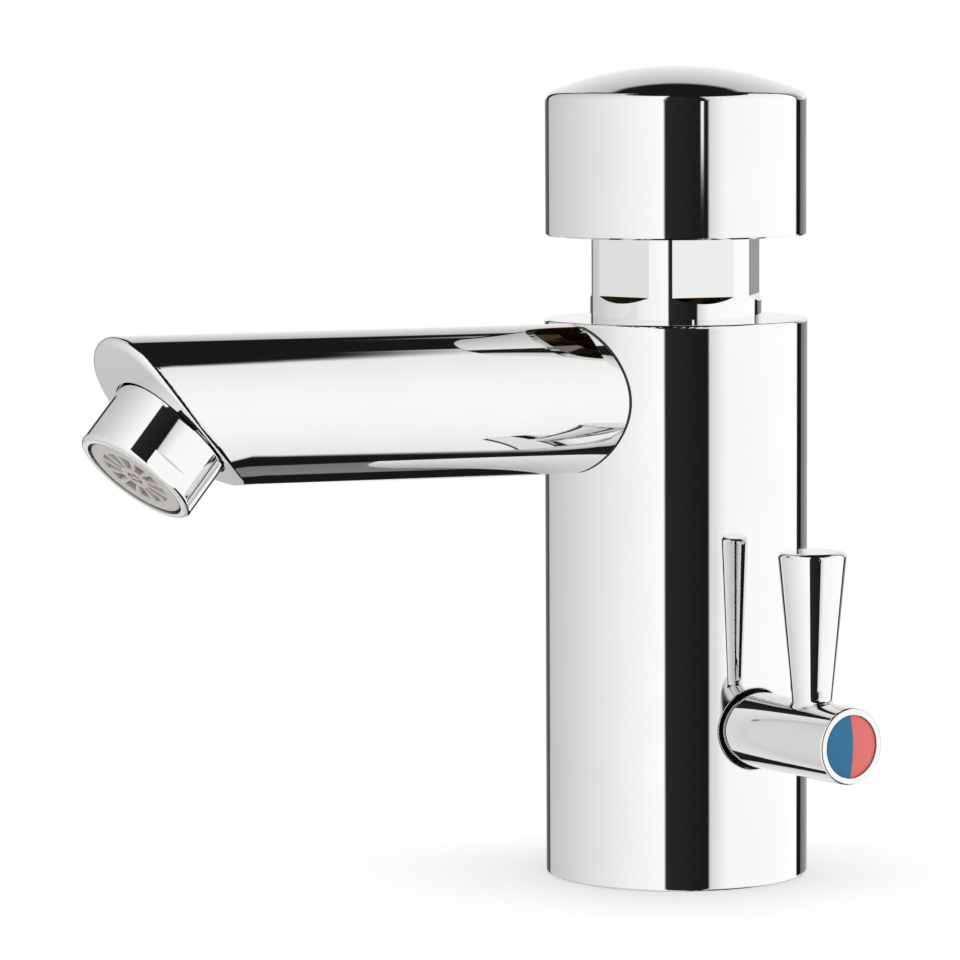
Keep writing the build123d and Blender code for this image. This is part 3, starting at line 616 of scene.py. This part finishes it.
@dataclass
class Outlet(SubAssembly):
    """The outlet ring with its celled insert, and what shapes the stream behind it.

    Lengths are in millimetres, measured on the outlet's own axis. The insert's circle is
    divided into segments, and its ribs and bars are whole numbers of them.
    """

    segments: int = 144
    shoulder_radius: float = 9.95
    front_radius: float = 9.5
    front_length: float = 3.4
    rim_bevel: float = 0.35
    mouth_bevel: float = 0.14
    bevel_steps: int = 3
    cell_outer_radius: float = 6.8
    cell_inner_radius: float = 3.0
    cells: int = 12
    rib_segments: int = 4
    cell_depth: float = 5.5
    pocket_radius: float = 1.6
    post_radius: float = 0.5
    pocket_bars: int = 4
    bar_segments: int = 8
    pocket_depth: float = 1.6

    def finishes(self) -> dict[str, Finish]:
        """Gives the finish of the ring and the pieces behind the insert."""
        return {
            "aerator_ring": CHROME,
            "aerator_disperser": ACETAL,
            "aerator_screens": replace(STAINLESS, axis=Axis.OUTLET),
            "aerator_washer": RUBBER,
        }

    def build(self) -> None:
        """Dresses the solids and models the insert that shows in the outlet."""
        super().build()
        insert = self.insert()
        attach(insert, "tap")
        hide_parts("aerator_insert")
        INSERT.dress(insert)
        report(insert, "tap")

    def seat(self) -> tuple[Matrix, float]:
        """Finds the insert's place and length from the solid that it stands for.

        Returns:
            A matrix from the middle of the front face, whose Z axis runs from that face into
            the spout, and the whole length in millimetres.
        """
        lean = radians(OUTLET_TILT)
        inward = Vector((0.0, sin(lean), cos(lean)))
        across = Vector((1.0, 0.0, 0.0))
        axes = (across, inward.cross(across), inward)
        points = [vertex.co for vertex in self.frame["nodes"]["aerator_insert"].data.vertices]
        spans = [[point.dot(axis) for point in points] for axis in axes]
        front, back = min(spans[2]), max(spans[2])
        middles = [(min(span) + max(span)) / 2 for span in spans[:2]]
        origin = sum((axis * at for axis, at in zip(axes, (*middles, front))), Vector())
        turn = Matrix(axes).transposed().to_4x4()
        return Matrix.Translation(origin) @ turn, (back - front) / MM

    def insert(self) -> bpy.types.Object:
        """Models the insert: a stepped plug, a ring of tapering cells and a pocketed hub.

        Returns:
            The finished insert, in place in the outlet.
        """
        seat, full_length = self.seat()
        work = Mesher.start(
            bpy.ops.mesh.primitive_cylinder_add,
            "outlet_insert",
            vertices=self.segments,
            radius=self.front_radius * MM,
            depth=self.front_length * MM,
            location=(0.0, 0.0, self.front_length * MM / 2),
        )
        # With its place applied, the front face lies at zero height on the piece's own axis.
        work.place(Matrix.Identity(4))
        work.choose(lambda face: face.normal.z > SQUARE)
        work.push(0.0)
        work.widen(self.shoulder_radius / self.front_radius)
        work.push(full_length - self.front_length)
        self.ring_front(work)
        self.sink(work, self.in_cell, self.cell_depth)
        self.sink(work, self.in_pocket, self.pocket_depth)
        self.soften(work, self.mouth_bevel, self.pocket_radius, self.cell_outer_radius)
        self.soften(work, self.rim_bevel, self.cell_outer_radius, self.front_radius)
        return work.place(seat)

    def ring_front(self, work: Mesher) -> None:
        """Divides the front face into rings, at every radius where its form changes."""
        work.choose(self.on_front)
        radii = (
            self.front_radius,
            self.cell_outer_radius,
            self.cell_inner_radius,
            self.pocket_radius,
            self.post_radius,
        )
        for outer, inner in zip(radii, radii[1:]):
            bpy.ops.mesh.inset(thickness=(outer - inner) * MM)

    def soften(self, work: Mesher, bevel: float, inner: float, outer: float) -> None:
        """Rounds the front's sharp edges that lie past one radius and up to another.

        Args:
            work: the mesher that holds the insert.
            bevel: the width of the rounding.
            inner: the smaller radius.
            outer: the larger radius.
        """
        bpy.ops.object.mode_set(mode="OBJECT")
        mesh = work.piece.data
        walls = [face for face in mesh.polygons if abs(face.normal.z) < ALONG]
        sharp = {key for face in walls for key in face.edge_keys}

        def in_band(vertex: int) -> bool:
            """Says whether a vertex lies on the front face, between the radii."""
            place = mesh.vertices[vertex].co
            radius = hypot(place.x, place.y) / MM
            return abs(place.z) < HAIR * MM and inner + HAIR < radius < outer + HAIR

        work.choose(lambda edge: edge.key in sharp and all(map(in_band, edge.key)), "edges")
        bpy.ops.mesh.bevel(offset=bevel * MM, segments=self.bevel_steps, affect="EDGES")

    def sink(self, work: Mesher, test: Callable[[Any], bool], depth: float) -> None:
        """Pushes the front faces that pass a test into the insert as pockets."""
        work.choose(lambda face: self.on_front(face) and test(face))
        work.push(depth)

    @staticmethod
    def on_front(face: Any) -> bool:
        """Says whether a face is part of the insert's flat front."""
        return face.normal.z < -SQUARE and abs(face.center.z) < HAIR * MM

    def step(self, face: Any) -> int:
        """Gives the number of the segment that a face lies in, counted round the axis."""
        share = degrees(atan2(face.center.y, face.center.x)) % 360 / 360
        return int(share * self.segments)

    def between(self, face: Any, inner: float, outer: float) -> bool:
        """Says whether a face's middle lies between two radii."""
        return inner * MM < hypot(face.center.x, face.center.y) < outer * MM

    def in_cell(self, face: Any) -> bool:
        """Says whether a face belongs to one of the tapering cells, between two ribs."""
        pitch = self.segments // self.cells
        width = pitch - self.rib_segments
        inside = self.between(face, self.cell_inner_radius, self.cell_outer_radius)
        return inside and (self.step(face) + width // 2) % pitch < width

    def in_pocket(self, face: Any) -> bool:
        """Says whether a face belongs to the hub's pocket, between two of its bars."""
        pitch = self.segments // self.pocket_bars
        inside = self.between(face, self.post_radius, self.pocket_radius)
        return inside and self.step(face) % pitch >= self.bar_segments


@dataclass
class PushHead(SubAssembly):
    """The neck, the button and what travels with it on its rod."""

    def finishes(self) -> dict[str, Finish]:
        """Gives the finish of the button, the neck and the timed cartridge."""
        return {
            "cartridge_nut": CHROME,
            "push_button": CAP_CHROME,
            "button_lock_nut": STAINLESS,
            "push_rod": STAINLESS,
            "rod_guide": BRASS,
            "rod_seal": RUBBER,
            "nut_o_ring": RUBBER,
            "timing_cylinder": ACETAL,
            "cylinder_o_ring": RUBBER,
            "piston": ACETAL,
            "piston_seal": RUBBER,
            "piston_clips": STAINLESS,
            "return_spring": STAINLESS,
            "valve_seat": BRASS,
            "seat_gasket": FIBRE,
            "valve_washer": RUBBER,
            "washer_cup": BRASS,
            "rod_end_nut": STAINLESS,
        }


@dataclass
class TemperatureControl(SubAssembly):
    """The side barrel with its lever and index, and the mixer that it turns."""

    def finishes(self) -> dict[str, Finish]:
        """Gives the finish of the lever, the index and the mixer."""
        steel = replace(STAINLESS, axis=Axis.SIDEWAYS)
        brass = replace(BRASS, axis=Axis.SIDEWAYS)
        return {
            "temperature_lever": CHROME,
            "cold_index": BLUE,
            "hot_index": RED,
            "lever_screw": steel,
            "mixer_spindle": brass,
            "mixer_gland": brass,
            "spindle_o_rings": RUBBER,
            "gland_o_ring": RUBBER,
            "barrel_seal": RUBBER,
            "stop_pin": steel,
            "turning_disc": CERAMIC,
            "fixed_disc": CERAMIC,
            "port_seals": RUBBER,
        }


@dataclass
class Supply(SubAssembly):
    """The unions, check valves and stud bush under the body."""

    def finishes(self) -> dict[str, Finish]:
        """Gives the finish of the pieces in the foot recess."""
        return {
            "cold_inlet_union": BRASS,
            "hot_inlet_union": BRASS,
            "cold_check_valve": ACETAL,
            "hot_check_valve": ACETAL,
            "union_gaskets": FIBRE,
            "stud_bush": BRASS,
        }


@dataclass(frozen=True)
class ViewPoint:
    """Where the picture is taken from. Lengths are in metres, angles in degrees."""

    azimuth: float = 53.076
    distance: float = 0.936779
    height: float = 0.162942
    yaw: float = 2.289
    pitch: float = 5.347
    roll: float = -0.279
    focal_pixels: float = 4923.383
    frame_pixels: float = 960.0
    sensor_width: float = 36.0

    def build(self) -> None:
        """Adds the camera and makes it the scene's own."""
        turn = radians(self.azimuth)
        heading = radians(self.azimuth + self.yaw)
        drop, tip = radians(self.pitch), radians(self.roll)
        forward = Vector((-sin(heading) * cos(drop), cos(heading) * cos(drop), -sin(drop)))
        level = Vector((cos(heading), sin(heading), 0.0))
        upward = level.cross(forward)
        right = cos(tip) * level + sin(tip) * upward
        up = -sin(tip) * level + cos(tip) * upward
        place = Vector((sin(turn) * self.distance, -cos(turn) * self.distance, self.height))
        lens = bpy.data.cameras.new("studio_camera")
        lens.sensor_width = self.sensor_width
        lens.lens = self.focal_pixels / self.frame_pixels * self.sensor_width
        camera = bpy.data.objects.new("studio_camera", lens)
        facing = Matrix((right, up, -forward)).transposed().to_4x4()
        camera.matrix_world = Matrix.Translation(place) @ facing
        bpy.context.scene.collection.objects.link(camera)
        bpy.context.scene.camera = camera


class Side(Enum):
    """The side that a panel's azimuths are counted from, as the sign of its directions."""

    CAMERA = 1.0
    BEHIND = -1.0


@dataclass(frozen=True)
class Panel:
    """A bright panel round the tap that the chrome mirrors.

    Azimuths, elevations and the width of its soft edge are in degrees, seen from the tap.
    Levels are its light at the first azimuth and at the second, where 1 is white. Fall is the
    share of its light that it has lost at the studio's fall elevation, above or below.
    """

    azimuths: tuple[float, float]
    elevations: tuple[float, float]
    levels: tuple[float, float]
    fall: float = 0.0
    edge: float = 2.5
    side: Side = Side.CAMERA


# The large softbox on the left grows brighter towards the camera.
LEFT_SOFTBOX = Panel((-150.0, -10.0), (-62.5, 67.0), (0.62, 1.24))
# The right softbox has a soft near edge, and is brightest level with the tap.
RIGHT_SOFTBOX_EDGE = Panel((29.0, 45.0), (-55.0, 55.0), (0.84, 1.18), fall=0.18)
RIGHT_SOFTBOX = Panel((45.0, 132.5), (-55.0, 55.0), (1.18, 1.26), fall=0.18)
# A narrow slit of light stands in the dark gap by the camera, level with the button.
SLIT = Panel((22.0, 24.6), (-1.7, 8.0), (1.1, 1.1), edge=1.0)
# The gap itself is nearly black, a little greyer on its left.
GAP = Panel((-12.0, 30.0), (-62.5, 55.0), (0.016, 0.0))
# The table top runs in under the tap from the left.
TABLE = Panel((-185.0, -12.0), (-95.0, -62.5), (0.9, 0.9))
# Behind the tap, a backdrop is brightest at the camera's height and fades upwards. It's
# taller towards the right, and falls off at its right end.
BACKDROP = Panel((-15.0, 20.0), (0.5, 37.0), (0.95, 0.95), fall=0.9, side=Side.BEHIND)
BACKDROP_TALL = Panel((-30.0, -15.0), (0.5, 44.0), (1.0, 1.0), fall=0.7, side=Side.BEHIND)
BACKDROP_END = Panel((-44.0, -30.0), (0.5, 40.0), (0.35, 0.8), fall=0.9, side=Side.BEHIND)
# Below it the backdrop falls into shade on both sides of a bright middle.
BACKDROP_RIGHT = Panel((-37.0, 0.0), (-13.0, 0.5), (0.17, 0.55), side=Side.BEHIND)
BACKDROP_MIDDLE = Panel((0.0, 9.0), (-22.0, 0.5), (0.62, 0.9), side=Side.BEHIND)
BACKDROP_LEFT = Panel((9.0, 30.0), (-13.0, 0.5), (0.24, 0.04), side=Side.BEHIND)
# The far end of the table shows low behind the tap, on both sides. On the right its near
# part lies in shade.
TABLE_RIGHT = Panel((-50.0, -17.0), (-46.0, -19.0), (1.1, 1.1), side=Side.BEHIND)
TABLE_SHADE = Panel((-50.0, -17.0), (-62.5, -46.0), (0.2, 0.24), side=Side.BEHIND)
TABLE_LEFT = Panel((2.0, 25.0), (-62.5, -15.0), (0.56, 0.6), side=Side.BEHIND)
TABLE_CORNER = Panel((25.0, 30.0), (-62.5, -15.0), (0.7, 1.0), side=Side.BEHIND)


@dataclass(frozen=True)
class Lamp:
    """A large soft lamp, by its bearing from the camera's in degrees and its light.

    Radiance 1 is white.
    """

    name: str
    azimuth: float
    radiance: float


@dataclass
class Studio:
    """White surroundings, a pale floor, two softboxes and the dark gaps between them.

    Lengths are in metres. Ambient is the even light on matt surfaces, and dark is what
    mirrors show between the panels.
    """

    view: ViewPoint
    ambient: float = 1.06
    dark: float = 0.011
    fall_elevation: float = 55.0
    floor_radius: float = 6.0
    floor_sides: int = 96
    floor_colour: str = "#fbfbfb"
    floor_roughness: float = 0.9
    clear_radius: float = 0.03
    fade_radius: float = 0.11
    panels: tuple[Panel, ...] = (
        LEFT_SOFTBOX,
        RIGHT_SOFTBOX_EDGE,
        RIGHT_SOFTBOX,
        SLIT,
        GAP,
        TABLE,
        BACKDROP,
        BACKDROP_TALL,
        BACKDROP_END,
        BACKDROP_RIGHT,
        BACKDROP_MIDDLE,
        BACKDROP_LEFT,
        TABLE_RIGHT,
        TABLE_SHADE,
        TABLE_LEFT,
        TABLE_CORNER,
    )
    lamps: tuple[Lamp, ...] = (
        Lamp("left_softbox", -70.0, 0.9),
        Lamp("right_softbox", 80.0, 1.1),
    )
    lamp_distance: float = 1.5
    lamp_height: float = 0.9
    lamp_width: float = 1.2

    def build(self) -> None:
        """Adds the world, the lamps and the floor."""
        bpy.context.scene.view_settings.view_transform = "Standard"
        self.world()
        for lamp in self.lamps:
            self.lamp(lamp)
        self.floor()

    def panel(self, tree: Tree, panel: Panel, azimuth: Socket, elevation: Socket) -> Socket:
        """Draws one panel with soft edges.

        Args:
            tree: the world's node tree.
            panel: the panel's edges and levels.
            azimuth: the direction's azimuth, in degrees.
            elevation: its elevation, in degrees.

        Returns:
            The panel's light as an output.
        """
        half = panel.edge / 2
        rise, drop = (0.0, 1.0), (1.0, 0.0)
        light = ramp(tree, azimuth, panel.azimuths, panel.levels)
        for angle, edges in ((azimuth, panel.azimuths), (elevation, panel.elevations)):
            for at, shares in zip(edges, (rise, drop)):
                soft = (at - half, at + half)
                share = ramp(tree, angle, soft, shares, interpolation_type="SMOOTHSTEP")
                light = compute(tree, "MULTIPLY", light, share)
        if panel.fall:
            share = compute(tree, "DIVIDE", elevation, self.fall_elevation)
            square = compute(tree, "MULTIPLY", share, share)
            kept = compute(tree, "MULTIPLY_ADD", square, -panel.fall, 1.0)
            light = compute(tree, "MULTIPLY", light, kept)
        return light

    def world(self) -> None:
        """Makes the world white to the camera, panelled to mirrors and even to all else."""
        world = bpy.data.worlds.new("studio")
        bpy.context.scene.world = world
        world.use_nodes = True
        tree = world.node_tree
        tree.nodes.clear()
        mirrored = self.mirrored(tree)
        path = add_node(tree, "ShaderNodeLightPath").outputs
        clear = compute(tree, "MAXIMUM", path["Is Camera Ray"], path["Is Transmission Ray"])
        indirect = blend(tree, path["Is Glossy Ray"], self.ambient, mirrored)
        light = blend(tree, clear, indirect, 1.0)
        shader = add_node(tree, "ShaderNodeBackground", {"Color": light})
        add_node(tree, "ShaderNodeOutputWorld", {"Surface": shader.outputs[0]})

    def mirrored(self, tree: Tree) -> Socket:
        """Adds up the panels that mirrors show, over the dark between them.

        Args:
            tree: the world's node tree.

        Returns:
            The light from a direction as an output.
        """
        place = add_node(tree, "ShaderNodeTexCoord").outputs["Generated"]
        links = {"Vector": place, "Angle": radians(90 - self.view.azimuth)}
        turned = add_node(tree, "ShaderNodeVectorRotate", links, rotation_type="Z_AXIS")
        parts = add_node(tree, "ShaderNodeSeparateXYZ", {0: turned.outputs[0]}).outputs
        elevation = compute(tree, "DEGREES", compute(tree, "ARCSINE", parts[2]))
        azimuths = {}
        for side in Side:
            ahead, aside = (compute(tree, "MULTIPLY", parts[k], side.value) for k in (0, 1))
            azimuths[side] = compute(tree, "DEGREES", compute(tree, "ARCTAN2", aside, ahead))
        total = self.dark
        for panel in self.panels:
            light = self.panel(tree, panel, azimuths[panel.side], elevation)
            total = compute(tree, "ADD", total, light)
        return total

    def lamp(self, lamp: Lamp) -> None:
        """Adds a lamp that aims at the tap and isn't mirrored a second time."""
        turn = radians(self.view.azimuth + lamp.azimuth)
        place = Vector((sin(turn), -cos(turn), 0.0)) * self.lamp_distance
        place.z = self.lamp_height
        light = bpy.data.lights.new(lamp.name, "AREA")
        light.size = self.lamp_width
        light.energy = lamp.radiance * pi * self.lamp_width**2
        holder = bpy.data.objects.new(lamp.name, light)
        aim = place.to_track_quat("Z", "Y").to_matrix().to_4x4()
        holder.matrix_world = Matrix.Translation(place) @ aim
        holder.visible_glossy = False
        holder.visible_camera = False
        bpy.context.scene.collection.objects.link(holder)

    def floor(self) -> None:
        """Adds the pale floor, which fades to white and keeps the tap's shadow."""
        bpy.ops.object.select_all(action="DESELECT")
        bpy.ops.mesh.primitive_circle_add(
            vertices=self.floor_sides, radius=self.floor_radius, fill_type="NGON"
        )
        floor = bpy.context.object
        floor.name = "studio_floor"
        material, tree, shader = new_material("matt_white_floor")
        shader.inputs["Base Color"].default_value = linear(self.floor_colour)
        shader.inputs["Roughness"].default_value = self.floor_roughness
        shader.inputs["Specular IOR Level"].default_value = 0.0
        place = add_node(tree, "ShaderNodeTexCoord").outputs["Object"]
        radius = add_node(tree, "ShaderNodeVectorMath", {0: place}, operation="LENGTH")
        fade = (self.clear_radius, self.fade_radius)
        away = ramp(tree, radius.outputs["Value"], fade, interpolation_type="SMOOTHSTEP")
        path = add_node(tree, "ShaderNodeLightPath").outputs
        seen = compute(tree, "MULTIPLY", away, path["Is Camera Ray"])
        white = add_node(tree, "ShaderNodeEmission").outputs[0]
        mixed = add_node(tree, "ShaderNodeMixShader", {0: seen, 1: shader.outputs[0], 2: white})
        output = next(node for node in tree.nodes if node.type == "OUTPUT_MATERIAL")
        tree.links.new(mixed.outputs[0], output.inputs["Surface"])
        put_material(floor, material)
        floor.visible_glossy = False


def main() -> None:
    """Builds the tap's sub-assemblies in order, then the studio, and notes the sizes."""
    logging.basicConfig(level=logging.INFO, format="%(name)s: %(message)s")
    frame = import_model()
    for assembly in (Casting, Outlet, PushHead, TemperatureControl, Supply):
        assembly(frame).build()
    view = ViewPoint()
    view.build()
    Studio(view).build()


if __name__ == "__main__":
    main()
